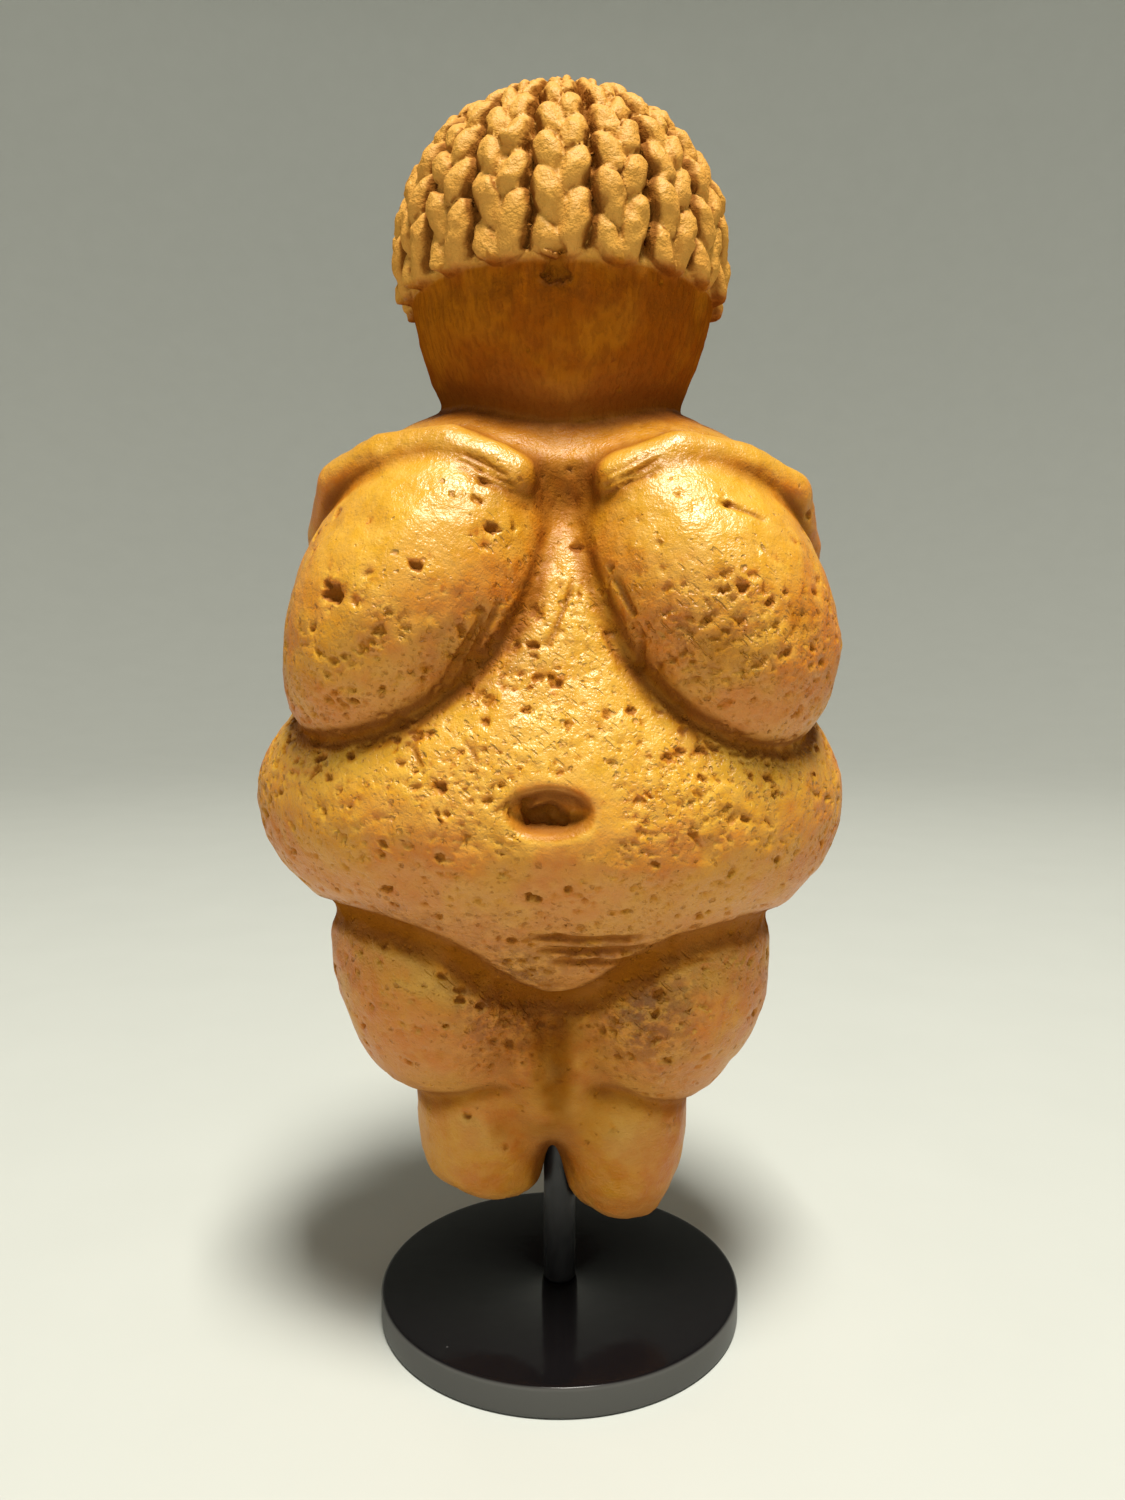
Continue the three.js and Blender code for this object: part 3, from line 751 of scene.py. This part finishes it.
def paint_attributes(made):
    """What the stone's material goes by at each point: how hollow it is, which marks it has, and where shade
    is painted on the face and chest.
    """
    mesh = made.data
    p = triples(mesh.vertices, "co") / MM
    normals = triples(mesh.vertex_normals, "vector")
    level = lumps(p) * bare(p)
    hollow = np.zeros(len(p))
    for reach, weight in HOLLOWS:
        gone = (figure(*(p + normals * reach).T) - level) / reach
        hollow += weight * np.clip(1 - gone, 0, 1)
    attribute(mesh, "hollow", hollow)
    attribute(mesh, "pit", np.clip(level - figure(*p.T), 0, 1))
    attribute(mesh, "crease", creased(p)[1] * smooth(*FRAYED_RANGE, layered_noise(p, **FRAYED)))
    attribute(mesh, "groove", grooved(p, normals))
    cap, facing = on_cap(p), frontal(normals, *PATCHED_FRONT)
    attribute(mesh, "cap", cap)
    attribute(mesh, "pores", pore_density(p) * (1 - cap))
    # Painted shade: under the cap's rim on the face, and on the chest where the head's shadow falls.
    painted_shade = np.maximum(smooth(*CAP_SHADE_HEIGHTS, p[:, 2]), patched(p, HEAD_SHADOW) * facing)
    attribute(mesh, "face", painted_shade * (1 - cap))
    for name, patches in (("hatched", HATCHED), ("stained", STAINED)):
        attribute(mesh, name, patched(p, patches) * facing * (1 - cap))


# Corners of the lattice, a little outside the figure
LATTICE = np.array([[-33.0, -27.0, 7.0], [33.0, 27.0, 121.0]])


def figurine():
    """The figure's surface, moved out by its lumps and in by its pits, tool marks, dents and creases."""
    low, high = LATTICE
    points, quads = surface_net(sampled(figure, low, high, NET_STEP), low, NET_STEP)
    points = settle(figure, points)
    normals = slope_of(figure, points)
    normals /= np.linalg.norm(normals, axis=1, keepdims=True)
    out = lumps(points) - pitted(points, normals) - grooved(points, normals) - dented(points, normals)
    out -= creased(points)[0]
    points = points + normals * (out * bare(points))[:, None]
    made = piece("figurine_stone", mesh_of("figurine_stone", points, quads))
    decimated(made, TRIANGLES)
    paint_attributes(made)
    return made


class Nodes:
    """Makes a material's nodes. Inputs go by name or number, as values or as other nodes' outputs."""

    def __init__(self, tree):
        self.tree = tree

    def add(self, kind, inputs=None, **settings):
        made = self.tree.nodes.new("ShaderNode" + kind)
        for key, value in settings.items():
            setattr(made, key, value)
        for key, value in (inputs or {}).items():
            socket = made.inputs[key]
            if isinstance(value, bpy.types.NodeSocket):
                self.tree.links.new(value, socket)
            else:
                socket.default_value = value
        return made

    def maths(self, operation, *values):
        return self.add("Math", dict(enumerate(values)), operation=operation).outputs[0]

    def times(self, *values):
        return self.maths("MULTIPLY", *values)

    def most(self, first, *others):
        """The greatest of the values."""
        for other in others:
            first = self.maths("MAXIMUM", first, other)
        return first

    def summed(self, base, rows):
        """The base plus, for each row, its measure times its amount."""
        for measure, amount in rows:
            base = self.maths("MULTIPLY_ADD", measure, amount, base)
        return base

    def ramp(self, value, low, high, to_low=0.0, to_high=1.0):
        """A soft step from one value to another."""
        ends = {0: value, 1: low, 2: high, 3: to_low, 4: to_high}
        return self.add("MapRange", ends, interpolation_type="SMOOTHSTEP").outputs[0]

    def blend(self, share, a, b):
        return self.add("Mix", {0: share, 6: a, 7: b}, data_type="RGBA").outputs[2]

    def covered(self, colour, layers):
        """The colour under layers of (share, tint), from the bottom layer up."""
        for share, tint in layers:
            colour = self.blend(share, colour, tint)
        return colour

    def vector(self, operation, *values):
        return self.add("VectorMath", dict(enumerate(values)), operation=operation).outputs["Vector"]

    def scaled(self, value, factor):
        return self.add("VectorMath", {0: value, "Scale": factor}, operation="SCALE").outputs["Vector"]

    def measured(self, operation, *values):
        """A number worked out from vectors, such as a length."""
        return self.add("VectorMath", dict(enumerate(values)), operation=operation).outputs["Value"]

    def place(self):
        """The place on the piece, in millimetres."""
        return self.scaled(self.add("TexCoord").outputs["Object"], 1 / MM)

    def noise(self, at, size, detail=2.0, roughness=0.5):
        """Noise with lumps of that size, in the units of the place."""
        inputs = {"Vector": at, "Scale": 1 / size, "Detail": detail, "Roughness": roughness}
        return self.add("TexNoise", inputs).outputs[0]

    def bump(self, height, reach=MM):
        """The normal of a surface that stands out by the height times the reach."""
        return self.add("Bump", {"Height": height, "Distance": reach, "Strength": 1.0}).outputs[0]

    def attribute(self, name):
        return self.add("Attribute", attribute_name=name).outputs["Fac"]


def material(name):
    """A new material, the maker of its nodes and its shader."""
    made = bpy.data.materials.new(name)
    made.use_nodes = True
    return made, Nodes(made.node_tree), made.node_tree.nodes["Principled BSDF"]


def connect(nodes, shader, **sockets):
    for name, value in sockets.items():
        nodes.tree.links.new(value, shader.inputs[name.replace("_", " ")])


# How big the smallest pore of a kind is, as a share of the biggest
SMALLEST_PORE = 0.45


def pores(n, at, share, cell, radius, edge):
    """Pits, one to a cell at most and in a share of the cells: 1 in a pit and 0 outside."""
    made = n.add("TexVoronoi", {"Vector": at, "Scale": 1 / cell})
    pick = n.add("SeparateColor", {0: made.outputs["Color"]})
    size = n.ramp(pick.outputs[1], 0.0, 1.0, radius * SMALLEST_PORE, radius)
    size = n.times(size, n.maths("LESS_THAN", pick.outputs[0], share))
    return n.ramp(n.maths("SUBTRACT", size, made.outputs["Distance"]), 0.0, edge)


def strokes(n, at, share, turn, length, width):
    """Short straight cuts that run one way across the front: 1 in a cut and 0 outside."""
    laid = {"Vector": at, "Rotation": (0, math.radians(turn), 0), "Scale": (length, width, width)}
    along = n.add("Mapping", laid, vector_type="TEXTURE").outputs[0]
    return pores(n, along, share, **STROKE)


# Stone's colours
ORANGE = (0.56, 0.155, 0.005, 1)
OCHRE = (0.60, 0.235, 0.008, 1)
# Painted light: the gold of the side that faces the key light.
LIT_GOLD = (0.68, 0.39, 0.020, 1)
# Painted bounce light: the tan of surfaces that face down.
BOUNCED_TAN = (0.56, 0.26, 0.08, 1)
WORN = (0.80, 0.50, 0.11, 1)
EARTH = (0.17, 0.045, 0.005, 1)
# Painted shade: the deep and russet tones of the face and of the chest below the head.
SHADED_DEEP = (0.25, 0.058, 0.002, 1)
SHADED_RUSSET = (0.35, 0.103, 0.004, 1)
BUFF = (0.63, 0.325, 0.07, 1)
PORE_BROWN = (0.36, 0.12, 0.006, 1)

# Pores that are too fine for the mesh: the width of a cell in millimetres, and the biggest radius and the
# width of the edge in cells. A stroke is such a pore, drawn out along the cut.
COARSE_PORES = dict(cell=0.85, radius=0.45, edge=0.32)
MIDDLE_PORES = dict(cell=0.5, radius=0.45, edge=0.4)
STROKE = dict(cell=1, radius=0.36, edge=0.2)
CUTS = dict(share=0.9, turn=42, length=2.6, width=0.55)
FINE_PORE = 0.4

# How pores are pushed aside so that they aren't round, and the clusters they lie in, in millimetres
STIR_SCALE = 2.2
STIR_REACH = 0.5
CLUSTER = 3.5

# The way that the side with painted light faces, which is towards the key light, and how the face's streaks
# are drawn out along its height
LIT_SIDE_FACING = (0.0, -0.62, 0.78)
STREAKED = (2.2, 2.2, 0.4)


def stone_pores(n, at):
    """The pores in three sizes, closest where the attribute says: each is 1 in a pore and 0 outside."""
    stir = n.add("TexNoise", {"Vector": at, "Scale": STIR_SCALE, "Detail": 1.0}).outputs["Color"]
    shift = n.scaled(n.vector("SUBTRACT", stir, (0.5, 0.5, 0.5)), STIR_REACH)
    stirred = n.vector("ADD", at, shift)
    clusters = n.ramp(n.noise(at, CLUSTER, 1.0), 0.35, 0.6)
    share = n.times(n.attribute("pores"), n.summed(0.55, [(clusters, 0.45)]))
    coarse = pores(n, stirred, n.times(share, 0.7), **COARSE_PORES)
    middle = pores(n, stirred, n.times(share, 0.9), **MIDDLE_PORES)
    specks = n.ramp(n.noise(at, FINE_PORE, 0.0), 0.6, 0.76)
    return coarse, middle, n.times(specks, n.summed(0.15, [(share, 0.8)]))


def cast_stone():
    """Ochre stone powder in resin: mottled, pored and hatched, golden and satin in painted light on the side
    that faces the key light, with painted shade and bounce light.
    """
    made, n, shader = material("cast_stone")
    at = n.place()
    hollow, pit, cap = n.attribute("hollow"), n.attribute("pit"), n.attribute("cap")
    face, crease, groove = n.attribute("face"), n.attribute("crease"), n.attribute("groove")

    # Noise goes by its lumps' size in millimetres, its detail and its roughness, and a ramp by its ends
    coarse, middle, fine = stone_pores(n, at)
    pored = n.most(coarse, middle, n.times(fine, 0.6))
    stain = n.times(n.attribute("stained"), n.ramp(n.noise(at, 1.3, 3.0, 0.65), 0.36, 0.62))
    cuts = n.times(strokes(n, at, **CUTS), n.attribute("hatched"))
    streaks = n.noise(n.vector("MULTIPLY", at, STREAKED), 1.0, 3.0)
    streaks = n.times(n.ramp(streaks, 0.42, 0.66), face)
    patches = n.ramp(n.noise(at, 7.0, 3.0, 0.6), 0.42, 0.62)
    mottle = n.ramp(n.noise(at, 1.6, 3.0, 0.65), 0.3, 0.7)
    normal = n.add("NewGeometry").outputs["Normal"]
    below = n.ramp(n.add("SeparateXYZ", {0: normal}).outputs[2], -0.1, -0.75)
    lit_side = n.ramp(n.measured("DOT_PRODUCT", normal, LIT_SIDE_FACING), 0.35, 0.95)

    colour = n.covered(n.blend(patches, ORANGE, OCHRE), [
        # Painted light: the side that faces the key light turns gold, less so in hollows.
        (n.times(lit_side, n.ramp(hollow, 0.05, 0.3, 0.8, 0.3)), LIT_GOLD),
        (n.times(mottle, 0.2), WORN),
        # Painted bounce light: surfaces that face down turn a pinkish tan.
        (n.times(below, 0.6), BOUNCED_TAN),
        (n.times(cap, 0.8), BUFF),
        # Painted shade: the face and the chest below the head turn darker and redder.
        (n.times(face, 0.9), n.blend(patches, SHADED_DEEP, SHADED_RUSSET)),
        (n.times(streaks, 0.35), EARTH),
        # Painted shade: the stone darkens in hollows, along with the brown wash that it has there.
        (n.ramp(hollow, 0.06, 0.5, 0.0, 0.8), EARTH),
        (n.times(crease, 0.85), EARTH),
        (n.ramp(groove, 0.05, 0.35, 0.0, 0.65), EARTH),
        (stain, EARTH),
        # The pits, pores and cuts are darker: partly the stone's brown wash, partly painted shade in them.
        (n.ramp(pit, 0.1, 0.7, 0.0, 0.5), PORE_BROWN),
        (n.times(pored, 0.55), PORE_BROWN),
        (n.times(cuts, 0.5), PORE_BROWN),
    ])

    # How far each measure raises the surface, in millimetres
    height = n.summed(0.0, [
        (n.noise(at, 0.9, 3.0, 0.65), 0.15),
        (n.noise(at, 2.0, 1.0), 0.22),
        (n.noise(at, 0.22, 1.0, 0.6), 0.05),
        (n.times(n.noise(at, 0.5, 2.0, 0.7), cap), 0.2),
        (stain, -0.1),
        (streaks, -0.07),
        (coarse, -0.15),
        (middle, -0.08),
        (fine, -0.06),
        (cuts, -0.2),
    ])
    hollows = n.ramp(hollow, 0.15, 0.6)
    rough = n.summed(0.35, [(mottle, 0.1), (cap, 0.15), (pored, 0.2), (hollows, 0.3)])
    # Gloss goes with the painted light: more on the side that faces the key light, and less on the face, the
    # cap, the creases and in hollows.
    gloss = n.summed(0.3, [(lit_side, 0.5), (n.most(face, cap, crease), -0.45)])
    gloss = n.times(gloss, n.ramp(hollow, 0.05, 0.3, 1.0, 0.2))
    connect(n, shader, Base_Color=colour, Roughness=rough, Specular_IOR_Level=gloss, Normal=n.bump(height))
    return made


# Stand, as the solids have it
DISC_RADIUS = 18
DISC_THICKNESS = 3
DISC_EDGE = 0.4
TENON_RADIUS = 1.1
TENON_LENGTH = 2

# Edges that are broken in the mesh alone, and the flat band beside the disc's edge that keeps its shading
HOLE_EDGE = (0.2, 0.1)
ROD_EDGE = 0.15
EDGE_BAND = 0.4
DISC_SIDES = 192
ROD_SIDES = 48


def arc(cx, cz, radius, start, end, steps=6):
    """Points round a circle in a profile, by angles in degrees from the direction off the axis."""
    angles = [math.radians(mix(start, end, i / steps)) for i in range(steps + 1)]
    return [(cx + radius * math.cos(a), cz + radius * math.sin(a)) for a in angles]


def turned(name, profile, sides):
    """A turned piece, from a profile of (radius, height) that starts and ends on the axis."""
    rings = [(r, z) for r, z in profile if r > 0]
    angles = 2 * math.pi * np.arange(sides) / sides
    points = [(r * math.cos(a), r * math.sin(a), z) for r, z in rings for a in angles]
    points += [(0, 0, profile[0][1]), (0, 0, profile[-1][1])]
    bottom, top = len(points) - 2, len(points) - 1
    faces = []
    for side in range(sides):
        after = (side + 1) % sides
        faces.append((bottom, after, side))
        for ring in range(len(rings) - 1):
            a, b = ring * sides, (ring + 1) * sides
            faces.append((a + side, a + after, b + after, b + side))
        last = (len(rings) - 1) * sides
        faces.append((last + side, last + after, top))
    mesh = bpy.data.meshes.new(name)
    mesh.from_pydata([tuple(v * MM for v in p) for p in points], [], faces)
    mesh.shade_smooth()
    return piece(name, mesh)


def foot():
    """The round foot, with a rounded edge and the blind hole that the rod stands in."""
    r, t, e = DISC_RADIUS, DISC_THICKNESS, DISC_EDGE
    hole, floor = TENON_RADIUS + FIT_GAP, t - TENON_LENGTH - FIT_GAP
    profile = [(0, 0), (r - e - EDGE_BAND, 0)]
    profile += arc(r - e, e, e, -90, 0)
    profile += arc(r - e, t - e, e, 0, 90)
    profile += [(r - e - EDGE_BAND, t), (hole + HOLE_EDGE[0], t), (hole, t - HOLE_EDGE[1])]
    profile += [(hole, floor), (0, floor)]
    return turned("foot", profile, DISC_SIDES)


def rod():
    """The rod, from its thinner end in the foot to its chamfered top in the figure."""
    t, top = DISC_THICKNESS, SOCKET_TOP - FIT_GAP
    profile = [(0, t - TENON_LENGTH), (TENON_RADIUS, t - TENON_LENGTH), (TENON_RADIUS, t)]
    profile += arc(ROD_RADIUS - ROD_EDGE, t + ROD_EDGE, ROD_EDGE, -90, 0, steps=3)
    profile += [(ROD_RADIUS, top - ROD_RADIUS / 2), (ROD_RADIUS / 2, top), (0, top)]
    return turned("rod", profile, ROD_SIDES)


# Stand's finish: colours, the lacquer's dust, where its grey edge starts, which is a painted reflection of
# the pale surroundings, and how deep a film's waves are
BLACK = (0.006, 0.0053, 0.006, 1)
REFLECTED_GREY = (0.085, 0.085, 0.08, 1)
DUST_GREY = (0.2, 0.2, 0.2, 1)
PAINT = ((0.010, 0.010, 0.012, 1), (0.018, 0.018, 0.019, 1))
DUST = dict(cell=2.6, radius=0.1, edge=0.05)
DUST_SHARE = 0.12
REFLECTED_FROM = 17.75
LACQUER_GLOSS = 0.12
FILM_DEPTH = 0.02 * MM


def lacquer():
    """Glossy black with a little dust, and grey round the edge: a painted reflection of the pale
    surroundings.
    """
    made, n, shader = material("black_lacquer")
    at = n.place()
    dust = pores(n, at, DUST_SHARE, **DUST)
    film = n.ramp(n.noise(at, 9.0, 3.0), 0.35, 0.7)
    off_axis = n.measured("LENGTH", n.vector("MULTIPLY", at, (1, 1, 0)))
    rim = n.ramp(off_axis, REFLECTED_FROM, DISC_RADIUS)
    # Painted reflection: the edge of the disc turns grey.
    colour = n.covered(BLACK, [(rim, REFLECTED_GREY), (n.times(dust, 0.5), DUST_GREY)])
    rough = n.summed(0.1, [(film, 0.05), (dust, 0.4), (rim, 0.25)])
    shader.inputs["Specular IOR Level"].default_value = LACQUER_GLOSS
    normal = n.bump(n.noise(at, 3.0, 2.0), FILM_DEPTH)
    connect(n, shader, Base_Color=colour, Roughness=rough, Normal=normal)
    return made


def black_metal():
    """Satin black paint on the rod, a little uneven."""
    made, n, shader = material("black_metal")
    at = n.place()
    film = n.noise(at, 1.2, 4.0)
    rough = n.ramp(film, 0.3, 0.7, 0.34, 0.46)
    normal = n.bump(n.noise(at, 0.25, 2.0), FILM_DEPTH)
    connect(n, shader, Base_Color=n.blend(film, *PAINT), Roughness=rough, Normal=normal)
    return made


def dress(made, finish, node):
    """Gives a piece its finish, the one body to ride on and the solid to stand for."""
    made.data.materials.clear()
    made.data.materials.append(finish)
    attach(made, "root")
    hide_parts(node)


# A pale studio: a round floor that sweeps up into a wall on all sides, in metres
FLOOR_RADIUS = 0.5
FLOOR_RINGS = 6
SWEEP = 0.7
SWEEP_STEPS = 16
WALL_TOP = 1.1
STUDIO_SIDES = 96
STUDIO_SHADES = ((0.53, 0.56, 0.53, 1), (0.56, 0.59, 0.56, 1))
STUDIO_SPECKLE = 0.02
STUDIO_ROUGHNESS = 0.5


def studio():
    """The pale floor and walls that the object is seen against, which are no part of it."""
    profile = [(FLOOR_RADIUS * i / FLOOR_RINGS, 0) for i in range(1, FLOOR_RINGS)]
    profile += arc(FLOOR_RADIUS, SWEEP, SWEEP, -90, 0, SWEEP_STEPS)
    profile += [(FLOOR_RADIUS + SWEEP, WALL_TOP)]
    angles = 2 * math.pi * np.arange(STUDIO_SIDES) / STUDIO_SIDES
    points = [(r * math.cos(a), r * math.sin(a), z) for r, z in profile for a in angles] + [(0, 0, 0)]
    faces = []
    for side in range(STUDIO_SIDES):
        after = (side + 1) % STUDIO_SIDES
        faces.append((side, after, len(points) - 1))
        for ring in range(0, (len(profile) - 1) * STUDIO_SIDES, STUDIO_SIDES):
            outer = ring + STUDIO_SIDES
            faces.append((ring + side, outer + side, outer + after, ring + after))
    mesh = bpy.data.meshes.new("studio")
    mesh.from_pydata(points, [], faces)
    mesh.shade_smooth()
    made = piece("studio", mesh)
    pale, n, shader = material("studio")
    at = n.add("TexCoord").outputs["Object"]
    connect(n, shader, Base_Color=n.blend(n.noise(at, STUDIO_SPECKLE, 3.0), *STUDIO_SHADES))
    shader.inputs["Roughness"].default_value = STUDIO_ROUGHNESS
    mesh.materials.append(pale)


# Lights, as name, place, size, power and colour. All of them look at the figure's middle. Metres and watts.
LIGHTS = [
    ("key", (0.07, -0.25, 0.84), 0.2, 11.8, (1, 0.95, 0.86)),
    ("front", (-0.12, -0.5, 0.2), 0.3, 0.25, (1, 0.94, 0.88)),
]
FIGURE_MIDDLE = (0, 0, 0.065)
WORLD_COLOUR = (0.95, 0.85, 0.7, 1)
WORLD_STRENGTH = 0.12


def area_light(name, at, size, power, colour):
    data = bpy.data.lights.new(name, "AREA")
    data.size = size
    data.energy = power
    data.color = colour
    made = piece(name, data)
    made.location = at
    made.rotation_euler = (Vector(FIGURE_MIDDLE) - Vector(at)).to_track_quat("-Z", "Y").to_euler()


def lights():
    world = bpy.data.worlds.new("studio")
    world.use_nodes = True
    bpy.context.scene.world = world
    background = world.node_tree.nodes["Background"]
    background.inputs["Color"].default_value = WORLD_COLOUR
    background.inputs["Strength"].default_value = WORLD_STRENGTH
    for row in LIGHTS:
        area_light(*row)


def camera():
    data = bpy.data.cameras.new("camera")
    data.lens = CAMERA_LENS
    data.clip_start = CAMERA_NEAR
    made = piece("camera", data)
    made.location = CAMERA_AT
    made.rotation_euler = (math.radians(90 - CAMERA_DOWN), 0, 0)
    bpy.context.scene.camera = made


camera()
dress(figurine(), cast_stone(), "figurine")
dress(foot(), lacquer(), "stand_disc")
dress(rod(), black_metal(), "stand_rod")
studio()
lights()
bpy.context.scene.view_settings.view_transform = "Standard"
